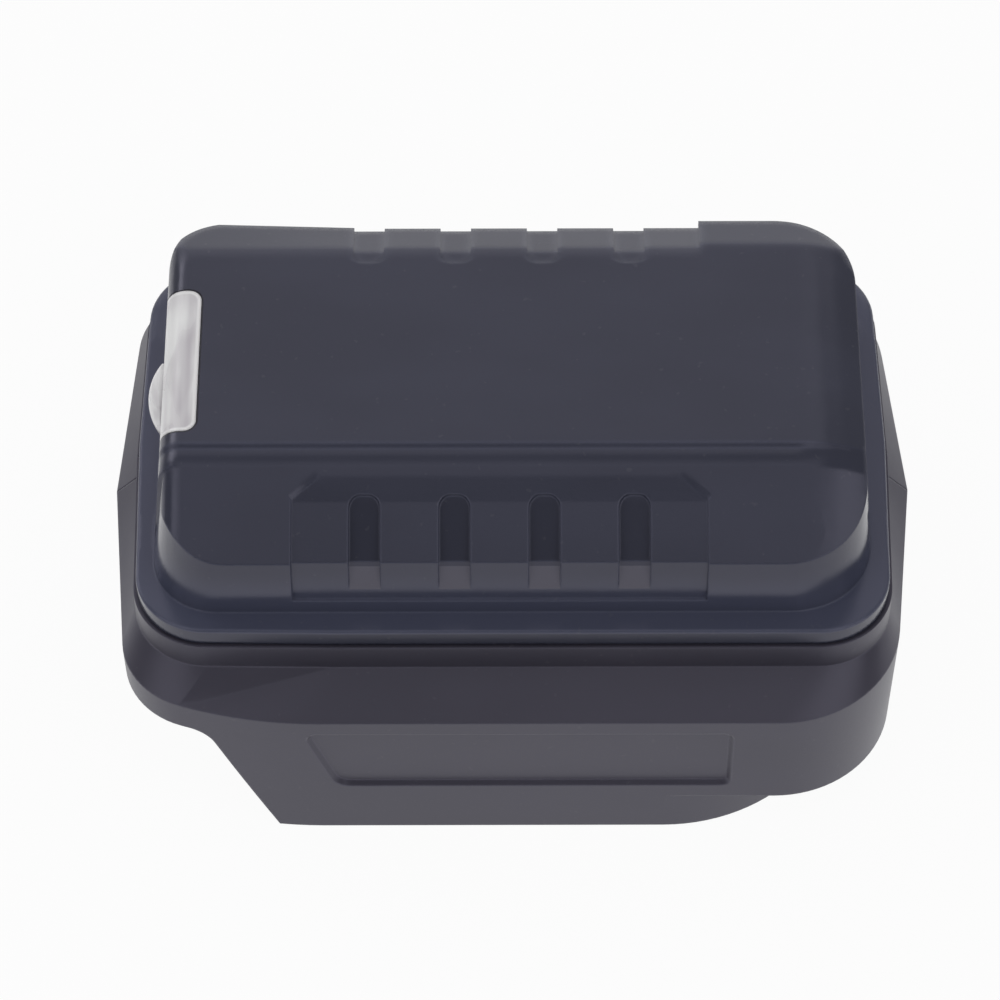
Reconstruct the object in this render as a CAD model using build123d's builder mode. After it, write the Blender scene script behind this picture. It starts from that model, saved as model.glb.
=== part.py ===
from build123d import *
import math
import os

# Adapter that slides onto a power tool battery and feeds two USB sockets and a lamp.
# Millimetres, +Z up, lamp end at -X, socket end at +X, long front face at -Y.
# The origin is the middle of the footprint, on the surface that the skirts stand on.

# Housing plan at the crease, where it is widest
end_half_length = 59.0
side_half_width = 42.2
lamp_end_bow = 0.077
socket_end_bow = 0.097
lead_in_x = -38.0
lead_in_rise = 5.9
lead_in_radius = 64.0
lamp_corner_radius = 12.5
nose_corner_radius = 18.2

# Housing levels
deck_underside = 22.2
deck_thickness = 2.4
crease_height = 27.5
shoulder_height = 3.9
neck_top = 36.1
nose_step_height = 8.0
skirt_draft = 1.6
housing_wall = 2.4
seam_gap = 0.1

# Battery channel between the skirts
lower_nose_x = 49.8
lower_nose_radius = 27.5
skirt_cut_bottom_x = -34.6
skirt_cut_top_x = -44.4
skirt_cut_radius = 4.0
rail_depth = 5.0
rail_height = 3.2
rail_bottom = 9.0
rail_start_x = -32.0
rail_end_x = 28.0

# Sunk panel on each long side
panel_left_top_x = -30.5
panel_left_bottom_x = -25.9
panel_right_x = 31.9
panel_top = 24.6
panel_bottom = 10.9
panel_depth = 0.7
panel_bevel = 45.0
panel_corner = 1.5
panel_lower_corner = 3.0

# Latch pocket in the deck
latch_pocket_x = -33.0
latch_pocket_length = 9.0
latch_pocket_width = 22.0
latch_pocket_depth = 6.0
latch_pocket_wall = 1.8

# Flange of the cover, and the neck of the housing under it
flange_half_length = 54.9
flange_half_width = 34.5
flange_bow = 0.022
flange_corner_radius = 10.5
flange_gap = 0.3
flange_thickness = 2.9
flange_edge_radius = 0.4
neck_lip = 0.5
spigot_depth = 2.6
spigot_wall = 1.6
spigot_clearance = 0.15

# Cover walls
cover_half_length = 51.8
cover_half_width = 30.9
cover_wall = 2.2
cover_roof = 3.2
cover_draft = 5.0
cover_left_corner = 9.5
cover_right_corner = 12.0

# Cover section across the short way, from the front edge to the back edge
cover_top = 57.0
front_edge_y = -30.0
front_edge_drop = 7.6
ledge_foot_y = -17.4
ledge_foot_drop = 0.95
ledge_top_y = -14.6
ledge_top_drop = 0.6
ledge_hollow = 0.12
top_break_y = -14.0
back_break_y = 23.2
back_edge_y = 29.6
back_edge_drop = 2.3

# Rounding of the lamp end, and the part in front of the ledge that is set back there
end_round_radius = 3.0
end_round_x = -50.5
end_round_angle = 75.0
end_round_section_count = 5
end_wall_reach = 2.6
front_part_setback = 0.35
front_part_draft = 7.5

# Socket end of the cover, where its top curves down
droop_start_x = 40.5
droop_end_x = 54.0
droop_radius = 24.0
droop_section_count = 5
droop_ledge_fade = 0.55

# Grip pattern, a shallow recess and four notches on each long edge
pattern_centre_x = -1.9
recess_half_length = 29.6
recess_depth = 0.5
back_recess_depth = 0.9
recess_foot_drop = 15.3
recess_corner_length = 4.1
recess_corner_width = 3.1
recess_corner_bevel = 0.8
recess_corner_start_depth = 0.06
recess_start_y = -18.7
recess_ramp_y = -21.9
recess_ramp_depth = 0.27
back_recess_start_y = 21.2
back_recess_break_y = 22.5
back_recess_break_depth = 0.1
back_recess_fade_start_x = -19.0
back_recess_fade_length = 34.0
back_recess_fade_end = 0.15
notch_count = 4
notch_pitch = 12.8
notch_width = 4.5
notch_corner = 1.7
notch_foot_drop = 13.4
notch_start_y = -20.9
notch_start_depth = 0.45
notch_floor_y = -28.6
notch_floor_depth = 1.3
back_notch_start_y = 19.8
back_notch_break_y = 21.8
back_notch_start_depth = 0.3
back_notch_depth = 0.35

# Lamp lens, which wraps from the top over the end
lens_centre_y = 1.3
lens_width = 26.2
lens_inner_x = -45.2
lens_bottom_drop = 15.4
lens_corner = 2.0
lens_clearance = 0.08
lens_lip = 1.2
lens_lip_thickness = 0.9
lens_lip_gap = 0.05
dome_drop = 9.4
dome_radius = 5.4
dome_rise = 2.0

# Lamp behind the lens
reflector_wall = 0.8
reflector_length = 2.8
reflector_width = 20.0
reflector_height = 9.0
reflector_x = -47.3
reflector_throat_length = 16.0
reflector_throat_height = 4.6
lamp_gap = 0.05
lamp_board_thickness = 1.2
lamp_board_width = 20.0
lamp_board_height = 9.6
led_size = 3.5
led_thickness = 1.4
led_count = 3
led_pitch = 5.6
lamp_rib_thickness = 1.6
lamp_rib_width = 2.4

# Main board
board_drop = 16.0
board_thickness = 1.6
board_left_x = -28.0
board_right_x = 45.6
board_half_width = 20.8
board_corner = 1.5
board_screw_left_x = -23.0
board_screw_right_x = 24.0
board_screw_y = 16.4
board_post_radius = 3.0

# USB sockets in the socket end
usb_pitch = 28.0
usb_shell_length = 14.0
usb_shell_width = 13.2
usb_shell_height = 5.8
usb_shell_wall = 0.4
usb_mouth_clearance = 0.15
usb_setback = 0.5
usb_shell_corner = 0.6
usb_spring_window_length = 3.6
usb_spring_window_width = 1.8
usb_spring_window_pitch = 5.6
usb_spring_window_setback = 5.0
tongue_width = 11.1
tongue_thickness = 1.8
tongue_length = 8.6
tongue_base_length = 3.0
tongue_lift = 0.9
tongue_clearance = 0.05
contact_count = 4
contact_pitch = 2.4
contact_width = 1.1
contact_thickness = 0.2
contact_length = 7.0

# Power button and its switch
button_over_board = 3.0
button_radius = 4.2
button_clearance = 0.25
button_setback = 0.2
button_edge = 0.5
button_travel = 0.8
button_flange = 0.7
button_flange_thickness = 1.0
button_seat_half_width = 5.9
button_seat_drop = 2.4
button_seat_x = 48.3
button_seat_gap = 0.1
button_stem_radius = 1.6
switch_front_x = 43.4
switch_depth = 4.4
switch_width = 6.4
switch_height = 7.0
plunger_radius = 1.4
plunger_clearance = 0.08
plunger_proud = 1.6
plunger_hidden = 0.6
plunger_end_clearance = 0.8

# Charge light above the button
light_over_board = 9.3
light_radius = 1.2
light_clearance = 0.08
light_bend_x = 37.0
light_bend_radius = 2.5
light_setback = 0.1
status_led_size = 2.4
status_led_thickness = 0.9
status_led_gap = 0.1

# Screws and their posts
cover_post_x = 40.0
cover_post_y = 25.4
post_radius = 4.3
screw_radius = 1.5
bore_clearance = 0.2
thread_clearance = 0.05
screw_head_radius = 2.8
screw_head_height = 2.0
driver_recess_radius = 1.3
driver_recess_depth = 1.1
screw_well_radius = 3.2
post_joint = 34.0
post_joint_gap = 0.1
cover_screw_seat = 28.4
cover_screw_length = 16.0
side_screw_height = 28.6
side_screw_seat = 16.0
side_screw_length = 24.0
side_boss_depth = 12.0
side_screw_end_x = 49.0
side_screw_middle_x = -12.0
board_screw_length = 7.0
board_screw_head_height = 1.4
board_screw_head_radius = 2.4

# Battery terminal block
block_x = 27.0
block_length = 18.0
block_width = 34.0
block_bottom = 18.8
block_top = 27.8
block_lip = 1.4
block_lip_height = 1.5
block_clearance = 0.15
blade_pitch = 24.0
blade_thickness = 0.8
blade_length = 12.0
blade_drop = 8.0
tag_height = 3.0
clamp_length = 8.0
clamp_thickness = 2.0
clamp_reach = 1.2
clamp_gap = 0.1
clamp_hook = 1.5

# Parts on the board
coil_x = 6.0
coil_y = -6.5
coil_radius = 6.6
coil_bore_radius = 2.6
coil_height = 6.0
coil_waist = 1.0
coil_rim = 0.9
capacitor_radius = 4.0
capacitor_height = 10.0
capacitor_groove = 0.35
capacitor_groove_height = 1.4
capacitor_x = -14.0
capacitor_pitch = 11.0
chip_size = 5.0
chip_height = 1.2
chip_x = 27.0
chip_pitch = 9.0
chip_count = 3
lead_radius = 0.9
lead_bend = 6.0
lead_board_x = -3.0
lead_tag_height = 1.5
lamp_lead_radius = 0.6
lamp_lead_bend = 3.2
lamp_lead_pitch = 8.0
lamp_lead_end_x = -25.5
lamp_lead_over_dome = 1.4

# Levels that follow from the sizes above
deck_top = deck_underside + deck_thickness
shoulder_top = crease_height + shoulder_height
flange_bottom = neck_top + flange_gap
flange_top = flange_bottom + flange_thickness
front_edge_height = cover_top - front_edge_drop
ledge_foot_height = cover_top - ledge_foot_drop
ledge_top_height = cover_top - ledge_top_drop
back_edge_height = cover_top - back_edge_drop
recess_foot = cover_top - recess_foot_drop
notch_foot = cover_top - notch_foot_drop
lens_bottom = cover_top - lens_bottom_drop
dome_height = cover_top - dome_drop
board_bottom = cover_top - board_drop
board_top = board_bottom + board_thickness
button_height = board_top + button_over_board
button_seat_bottom = button_height - button_seat_drop
light_height = board_top + light_over_board
lamp_lead_height = dome_height + lamp_lead_over_dome
plunger_bore_depth = plunger_hidden + button_travel + plunger_end_clearance
far = 90.0

os.makedirs("parts", exist_ok=True)


def slope(angle):
    """Sideways step per millimetre of height on a drafted wall."""
    return math.tan(math.radians(angle))


def end_x(half_length, bow, y):
    """Half length of a bowed end at a distance from the seam."""
    return half_length - bow * abs(y)


def wall_y(height, depth):
    """Distance of the cover's long walls from the seam at a height, under their surface."""
    return cover_half_width - (height - flange_top) * slope(cover_draft) - depth


def wall_x(height, depth):
    """Distance of the cover's socket end from the origin at a height, under its surface."""
    return cover_half_length - (height - flange_top) * slope(cover_draft) - depth


# Form of the cover


def cover_plan(height, left_draft, inset=0.0):
    """Outline of the drafted cover walls at a height."""
    left_x = -cover_half_length + (height - flange_top) * slope(left_draft) + inset
    right_x = wall_x(height, inset)
    half_width = wall_y(height, inset)
    left_radius = cover_left_corner - inset
    right_radius = cover_right_corner - inset
    with BuildSketch(Plane.XY.offset(height)) as plan:
        with BuildLine():
            FilletPolyline(
                (left_x, -half_width),
                (right_x, -half_width),
                (right_x, half_width),
                (left_x, half_width),
                radius=[left_radius, right_radius, right_radius, left_radius],
                close=True,
            )
        make_face()
    return plan.sketch


def front_slope_height(y):
    """Height of the front slope of the cover, also past its ends."""
    gradient = (ledge_foot_height - front_edge_height) / (ledge_foot_y - front_edge_y)
    return ledge_foot_height + (y - ledge_foot_y) * gradient


def back_facet_height(y):
    """Height of the rear facet of the cover, also past its ends."""
    gradient = (back_edge_height - cover_top) / (back_edge_y - back_break_y)
    return cover_top + (y - back_break_y) * gradient


def front_section(x, drop):
    """Section of the part in front of the ledge, lowered by a drop."""
    outside = cover_half_width + cover_wall
    with BuildSketch(Plane.YZ.offset(x)) as face:
        with BuildLine():
            Polyline(
                (-outside, deck_top),
                (-outside, front_slope_height(-outside) - drop),
                (ledge_foot_y, ledge_foot_height - drop),
                (ledge_foot_y, deck_top),
                close=True,
            )
        make_face()
    return face.sketch.face()


def rear_section(x, drop, with_front=False, fade=0.0):
    """Section of the ledge, the top and the rear facet, lowered by a drop, its ledge faded out."""
    outside = cover_half_width + cover_wall
    ledge_share = (ledge_top_y - ledge_foot_y) / (top_break_y - ledge_foot_y)
    faded_height = ledge_foot_height + (cover_top - ledge_foot_height) * ledge_share
    ledge_height = ledge_top_height + (faded_height - ledge_top_height) * fade
    with BuildSketch(Plane.YZ.offset(x)) as face:
        with BuildLine():
            start = (ledge_foot_y, deck_top)
            if with_front:
                start = (-outside, deck_top)
                Line(start, (-outside, front_slope_height(-outside) - drop))
                Line(
                    (-outside, front_slope_height(-outside) - drop),
                    (ledge_foot_y, ledge_foot_height - drop),
                )
            else:
                Line(start, (ledge_foot_y, ledge_foot_height - drop))
            SagittaArc(
                (ledge_foot_y, ledge_foot_height - drop),
                (ledge_top_y, ledge_height - drop),
                ledge_hollow * (1 - fade),
            )
            Polyline(
                (ledge_top_y, ledge_height - drop),
                (top_break_y, cover_top - drop),
                (back_break_y, cover_top - drop),
                (outside, back_facet_height(outside) - drop),
                (outside, deck_top),
                start,
            )
        make_face()
    return face.sketch.face()


def end_steps(start_x, radius, last_angle, count, direction):
    """Places and drops of the sections along the rounding at one end."""
    steps = []
    for step in range(count):
        angle = last_angle * step / (count - 1)
        steps.append((start_x + direction * radius * math.sin(angle), radius * (1 - math.cos(angle))))
    return steps


def below(step):
    """Straight continuation of the rounding down to the drafted end wall."""
    x, drop = step
    return [step, (x - end_wall_reach, drop + end_wall_reach * slope(end_round_angle))]


def cover_block(left_draft, inset, base):
    """Drafted walls of the cover from a level up to its top."""
    with BuildPart() as block:
        loft([cover_plan(base, left_draft, inset).face(), cover_plan(cover_top, left_draft, inset).face()])
    return block.part


def cover_form(inset, roof, base):
    """Form of the cover without its grip pattern, or the room inside its walls."""
    droop_angle = math.asin((droop_end_x - droop_start_x) / droop_radius)
    round_angle = math.radians(end_round_angle)
    droop = end_steps(droop_start_x, droop_radius, droop_angle, droop_section_count, 1)
    rear_start = end_round_x + end_round_radius
    front_start = rear_start + front_part_setback
    rear_end = end_steps(rear_start, end_round_radius, round_angle, end_round_section_count, -1)
    front_end = end_steps(front_start, end_round_radius, round_angle, end_round_section_count, -1)
    with BuildPart() as front:
        extrude(front_section(front_start, roof), amount=droop_start_x - front_start)
        loft([front_section(x, roof + drop) for x, drop in front_end])
        loft([front_section(x, roof + drop) for x, drop in below(front_end[-1])])
        add(cover_block(front_part_draft, inset, base), mode=Mode.INTERSECT)
    with BuildPart() as whole:
        extrude(rear_section(rear_start, roof), amount=droop_start_x - rear_start)
        loft(
            [
                rear_section(x, roof + drop, True, 1 - (1 - droop_ledge_fade) ** step)
                for step, (x, drop) in enumerate(droop)
            ]
        )
        loft([rear_section(x, roof + drop) for x, drop in rear_end])
        loft([rear_section(x, roof + drop) for x, drop in below(rear_end[-1])])
        add(cover_block(cover_draft, inset, base), mode=Mode.INTERSECT)
        add(front.part)
    return whole.part


# Grip pattern


def recess_plan(start_y):
    """Plan of the recess on the front edge, with its inner corners cut off."""
    outside = -cover_half_width - cover_wall
    left = pattern_centre_x - recess_half_length
    right = pattern_centre_x + recess_half_length
    with BuildSketch(Plane.XY.offset(flange_top)) as plan:
        with BuildLine():
            Polyline(
                (left, outside),
                (left, start_y - recess_corner_width),
                (left + recess_corner_length, start_y),
                (right - recess_corner_length, start_y),
                (right, start_y - recess_corner_width),
                (right, outside),
                close=True,
            )
        make_face()
    return plan.sketch


def notch_plan(start_y, side):
    """Plan of the notches on one long edge, with round inner corners."""
    outside = side * (cover_half_width + cover_wall)
    with BuildSketch(Plane.XY.offset(flange_top)) as plan:
        with Locations((pattern_centre_x, (start_y + outside) / 2)):
            with GridLocations(notch_pitch, 1, notch_count, 1):
                RectangleRounded(notch_width, abs(outside - start_y), notch_corner)
    return plan.sketch


def floor_section(x, points):
    """Region above and outside the floor line of a recess."""
    side = math.copysign(1, points[-1][0])
    outside = side * (cover_half_width + 2 * cover_wall)
    with BuildSketch(Plane.YZ.offset(x)) as region:
        with BuildLine():
            Polyline(
                *points,
                (outside, points[-1][1]),
                (outside, cover_top + cover_wall),
                (points[0][0], cover_top + cover_wall),
                close=True,
            )
        make_face()
    return region.sketch.face()


def grip_tool(plan, points):
    """Tool that cuts a plan down to a floor line, the same along the whole edge."""
    with BuildPart() as tool:
        extrude(plan, amount=cover_top)
        extrude(floor_section(-far, points), amount=2 * far, mode=Mode.INTERSECT)
    return tool.part


def recess_corner_tool():
    """Tool for the bevels on both cut corners of the front recess."""
    length = math.hypot(recess_corner_length, recess_corner_width)
    along = (recess_corner_length / length, recess_corner_width / length, 0)
    across = (-along[1], along[0], 0)
    left = pattern_centre_x - recess_half_length
    ends = [
        (left, recess_start_y - recess_corner_width, recess_ramp_depth),
        (left + recess_corner_length, recess_start_y, recess_corner_start_depth),
    ]
    sections = []
    for x, y, depth in ends:
        level = front_slope_height(y)
        rise = front_slope_height(y + recess_corner_bevel * across[1]) - level
        with BuildSketch(Plane(origin=(x, y, level), x_dir=across, z_dir=along)) as section:
            with BuildLine():
                Polyline(
                    (0, -depth),
                    (recess_corner_bevel, rise),
                    (recess_corner_bevel, cover_wall),
                    (0, cover_wall),
                    close=True,
                )
            make_face()
        sections.append(section.sketch.face())
    with BuildPart() as tool:
        loft(sections)
        mirror(about=Plane.YZ.offset(pattern_centre_x))
    return tool.part


def back_floor(depth):
    """Floor line of the recess on the rear edge at a depth."""
    return [
        (back_recess_start_y, cover_top),
        (back_recess_break_y, cover_top - back_recess_break_depth),
        (back_edge_y - depth, back_facet_height(back_edge_y - depth) - depth),
        (wall_y(recess_foot, depth), recess_foot),
    ]


def back_recess_tool():
    """Tool for the recess on the rear edge, which fades out towards the lamp."""
    fade_end_x = back_recess_fade_start_x - back_recess_fade_length
    with BuildPart() as tool:
        extrude(floor_section(back_recess_fade_start_x, back_floor(back_recess_depth)), amount=far)
        loft(
            [
                floor_section(back_recess_fade_start_x, back_floor(back_recess_depth)),
                floor_section(fade_end_x, back_floor(back_recess_fade_end)),
            ],
            ruled=True,
        )
        with BuildSketch(Plane.XY.offset(flange_top)):
            with Locations((pattern_centre_x + recess_half_length, back_recess_start_y)):
                Rectangle(far, far, align=(Align.MAX, Align.MIN))
        extrude(amount=cover_top, mode=Mode.INTERSECT)
    return tool.part


front_floor_y = front_edge_y + recess_depth
front_recess_tool = grip_tool(
    recess_plan(recess_start_y),
    [
        (recess_start_y, front_slope_height(recess_start_y)),
        (recess_ramp_y, front_slope_height(recess_ramp_y) - recess_ramp_depth),
        (front_floor_y, front_slope_height(front_floor_y) - recess_depth),
        (-wall_y(recess_foot, recess_depth), recess_foot),
    ],
)
front_notch_tool = grip_tool(
    notch_plan(notch_start_y, -1),
    [
        (notch_start_y, front_slope_height(notch_start_y) - recess_ramp_depth - notch_start_depth),
        (notch_floor_y, front_slope_height(notch_floor_y) - recess_depth - notch_floor_depth),
        (-wall_y(notch_foot, recess_depth), notch_foot),
    ],
)
back_notch_y = back_edge_y - back_recess_depth - back_notch_depth
back_notch_tool = grip_tool(
    notch_plan(back_notch_start_y, 1),
    [
        (back_notch_start_y, cover_top - back_notch_start_depth),
        (back_notch_break_y, cover_top - back_notch_start_depth),
        (back_notch_y, back_facet_height(back_notch_y) - back_recess_depth - back_notch_depth),
        (wall_y(recess_foot, back_recess_depth + back_notch_depth), recess_foot),
    ],
)


# Plans of the housing


def crease_plan(height, inset=0.0):
    """Housing plan at the crease, with a lead-in curve at the lamp end."""
    lead_y = side_half_width - lead_in_rise
    lamp_x = -end_x(end_half_length, lamp_end_bow, lead_y)
    nose_x = end_x(end_half_length, socket_end_bow, side_half_width)
    with BuildSketch(Plane.XY.offset(height)) as plan:
        with BuildLine():
            FilletPolyline(
                (-end_half_length, 0),
                (lamp_x, -lead_y),
                (lead_in_x, -side_half_width),
                (nose_x, -side_half_width),
                (end_half_length, 0),
                (nose_x, side_half_width),
                (lead_in_x, side_half_width),
                (lamp_x, lead_y),
                radius=[
                    0,
                    lamp_corner_radius,
                    lead_in_radius,
                    nose_corner_radius,
                    0,
                    nose_corner_radius,
                    lead_in_radius,
                    lamp_corner_radius,
                ],
                close=True,
            )
        make_face()
        if inset:
            offset(amount=-inset)
    return plan.sketch


def neck_plan(height, inset=0.0):
    """Plan of the neck, the flange and the spigot, bowed a little at the ends."""
    half_length = flange_half_length + neck_lip
    half_width = flange_half_width + neck_lip
    radius = flange_corner_radius + neck_lip
    corner_x = end_x(half_length, flange_bow, half_width)
    lead_y = half_width - flange_edge_radius
    lead_x = lead_in_x + lamp_corner_radius
    with BuildSketch(Plane.XY.offset(height)) as plan:
        with BuildLine():
            FilletPolyline(
                (-half_length, 0),
                (-corner_x, -lead_y),
                (lead_x, -half_width),
                (corner_x, -half_width),
                (half_length, 0),
                (corner_x, half_width),
                (lead_x, half_width),
                (-corner_x, lead_y),
                radius=[0, radius, lead_in_radius, radius, 0, radius, lead_in_radius, radius],
                close=True,
            )
        make_face()
        if inset:
            offset(amount=-inset)
    return plan.sketch


def nose_plan(height, half_width, nose_x, radius):
    """Plan of the channel, or of the wall round it, open towards the lamp end."""
    with BuildSketch(Plane.XY.offset(height)) as plan:
        with BuildLine():
            FilletPolyline(
                (-far, -half_width),
                (nose_x, -half_width),
                (nose_x, half_width),
                (-far, half_width),
                radius=[0, radius, radius, 0],
                close=True,
            )
        make_face()
    return plan.sketch


# Top cover


outer_form = cover_form(0.0, 0.0, post_joint)
raised_form = split(outer_form, bisect_by=Plane.XY.offset(flange_top), keep=Keep.TOP)
cover_posts = [(x, y) for x in (-cover_post_x, cover_post_x) for y in (-cover_post_y, cover_post_y)]
board_posts = [
    (x, y) for x in (board_screw_left_x, board_screw_right_x) for y in (-board_screw_y, board_screw_y)
]
lamp_board_x = reflector_x + reflector_length + lamp_gap
lamp_rib_x = lamp_board_x + lamp_board_thickness + lamp_gap
usb_front_x = wall_x(board_top + usb_shell_height / 2, usb_setback)
usb_centre_z = board_top + usb_shell_height / 2
usb_rows = [-usb_pitch / 2, usb_pitch / 2]


def end_plane(x, y, z):
    """Plane square to the long axis, with its normal towards the socket end."""
    return Plane(origin=(x, y, z), x_dir=(0, 1, 0), z_dir=(1, 0, 0))


def side_plane(x, y, z):
    """Plane square to the side screws, with its normal towards the front."""
    return Plane(origin=(x, y, z), x_dir=(1, 0, 0), z_dir=(0, -1, 0))


def cover_inner_posts():
    """Screw posts, board posts and lamp ribs, cut off at the form of the cover."""
    with BuildPart() as posts:
        with BuildSketch(Plane.XY.offset(post_joint)):
            with Locations(*cover_posts):
                Circle(post_radius)
        extrude(amount=cover_top - post_joint)
        with BuildSketch(Plane.XY.offset(board_top)):
            with Locations(*board_posts):
                Circle(board_post_radius)
        extrude(amount=cover_top - board_top)
        rib_y = lamp_board_width / 2 - lamp_rib_width / 2
        with BuildSketch(Plane.XY.offset(dome_height - lamp_board_height / 2)):
            with Locations(
                (lamp_rib_x + lamp_rib_thickness / 2, lens_centre_y - rib_y),
                (lamp_rib_x + lamp_rib_thickness / 2, lens_centre_y + rib_y),
            ):
                Rectangle(lamp_rib_thickness, lamp_rib_width)
        extrude(amount=cover_top - dome_height + lamp_board_height / 2)
        add(outer_form, mode=Mode.INTERSECT)
    return posts.part


def lens_prism(clearance):
    """Upright prism of the lens opening, grown or shrunk by a clearance."""
    with BuildPart() as prism:
        with BuildSketch(Plane.XY.offset(lens_bottom - clearance)):
            with Locations((lens_inner_x + clearance, lens_centre_y)):
                Rectangle(far, lens_width + 2 * clearance, align=(Align.MAX, Align.CENTER))
        extrude(amount=far)
        inner_edges = prism.edges().filter_by(Axis.Z).group_by(Axis.X)[-1]
        fillet(inner_edges, radius=lens_corner + clearance)
    return prism.part


with BuildPart() as top_cover:
    extrude(neck_plan(flange_bottom, neck_lip), amount=flange_thickness)
    fillet(top_cover.faces().sort_by(Axis.Z)[-1].edges(), radius=flange_edge_radius)
    add(raised_form)
    # Spigot that drops into the neck of the housing
    extrude(
        neck_plan(neck_top - spigot_depth, housing_wall + spigot_clearance),
        amount=spigot_depth + flange_gap,
    )
    extrude(
        neck_plan(neck_top - spigot_depth, housing_wall + spigot_clearance + spigot_wall),
        amount=spigot_depth + flange_gap,
        mode=Mode.SUBTRACT,
    )
    add(cover_form(cover_wall, cover_roof, flange_bottom), mode=Mode.SUBTRACT)
    add(cover_inner_posts())
    # Flat seat behind the button
    with BuildSketch(end_plane(button_seat_x, 0, 0)):
        with Locations((0, button_seat_bottom)):
            Rectangle(
                2 * button_seat_half_width,
                light_height - button_seat_bottom,
                align=(Align.CENTER, Align.MIN),
            )
    extrude(amount=cover_wall / 2)
    # Grip pattern
    add(front_recess_tool, mode=Mode.SUBTRACT)
    add(recess_corner_tool(), mode=Mode.SUBTRACT)
    add(front_notch_tool, mode=Mode.SUBTRACT)
    add(back_recess_tool(), mode=Mode.SUBTRACT)
    add(back_notch_tool, mode=Mode.SUBTRACT)
    add(lens_prism(0.0), mode=Mode.SUBTRACT)
    # USB mouths, button hole and light hole in the socket end
    with BuildSketch(end_plane(board_right_x, 0, usb_centre_z)):
        with Locations(*[(y, 0) for y in usb_rows]):
            Rectangle(
                usb_shell_width + 2 * usb_mouth_clearance,
                usb_shell_height + 2 * usb_mouth_clearance,
            )
    extrude(amount=far, mode=Mode.SUBTRACT)
    with BuildSketch(end_plane(board_right_x, 0, button_height)):
        Circle(button_radius + button_clearance)
    extrude(amount=far, mode=Mode.SUBTRACT)
    with BuildSketch(end_plane(board_right_x, 0, light_height)):
        Circle(light_radius + light_clearance)
    extrude(amount=far, mode=Mode.SUBTRACT)
    # Screw bores in the posts, from below
    with BuildSketch(Plane.XY.offset(post_joint)):
        with Locations(*cover_posts):
            Circle(screw_radius + thread_clearance)
    extrude(amount=cover_screw_seat + cover_screw_length + bore_clearance - post_joint, mode=Mode.SUBTRACT)
    with BuildSketch(Plane.XY.offset(board_top)):
        with Locations(*board_posts):
            Circle(screw_radius + thread_clearance)
    extrude(amount=board_screw_length - board_thickness + bore_clearance, mode=Mode.SUBTRACT)
top_cover.part.label = "top_cover"
export_step(top_cover.part, "parts/top_cover.step")


# Lamp lens with its dome and an inner rim behind the opening

lens_rim_inset = cover_wall + lens_lip_gap
lens_rim_roof = cover_roof + lens_lip_gap
with BuildPart() as lens_rim:
    add(cover_form(lens_rim_inset, lens_rim_roof, flange_top))
    add(lens_prism(lens_lip), mode=Mode.INTERSECT)

with BuildPart() as lens_dome:
    dome_sphere = (dome_radius**2 + dome_rise**2) / (2 * dome_rise)
    dome_base_x = -wall_x(dome_height, 0.0)
    with BuildSketch(Plane.XZ.offset(-lens_centre_y)):
        with BuildLine():
            CenterArc(
                (dome_base_x - dome_rise + dome_sphere, dome_height),
                dome_sphere,
                180,
                -math.degrees(math.asin(dome_radius / dome_sphere)),
            )
            Line(
                (dome_base_x, dome_height + dome_radius),
                (dome_base_x + cover_wall / 2, dome_height + dome_radius),
            )
            Line(
                (dome_base_x + cover_wall / 2, dome_height + dome_radius),
                (dome_base_x + cover_wall / 2, dome_height),
            )
            Line((dome_base_x + cover_wall / 2, dome_height), (dome_base_x - dome_rise, dome_height))
        make_face()
    revolve(axis=Axis((0, lens_centre_y, dome_height), (1, 0, 0)))

with BuildPart() as lamp_lens:
    add(raised_form)
    add(lens_prism(-lens_clearance), mode=Mode.INTERSECT)
    add(lens_rim.part)
    add(
        cover_form(lens_rim_inset + lens_lip_thickness, lens_rim_roof + lens_lip_thickness, flange_top),
        mode=Mode.SUBTRACT,
    )
    add(lens_dome.part)
lamp_lens.part.label = "lamp_lens"
export_step(lamp_lens.part, "parts/lamp_lens.step")


# Screws


def screw(radius, length, head_radius, head_height):
    """Screw with its head below the origin and its shaft upwards."""
    with BuildPart() as body:
        with BuildSketch():
            Circle(radius)
        extrude(amount=length)
        with BuildSketch():
            Circle(head_radius)
        extrude(amount=-head_height)
        with BuildSketch(Plane.XY.offset(-head_height)):
            RegularPolygon(driver_recess_radius, 6)
        extrude(amount=min(driver_recess_depth, head_height), mode=Mode.SUBTRACT)
    return body.part


side_screw_places = [
    (-side_screw_end_x, side_screw_seat, side_screw_height),
    (side_screw_middle_x, side_screw_seat, side_screw_height),
    (side_screw_end_x, side_screw_seat, side_screw_height),
]


# Housing


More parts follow.
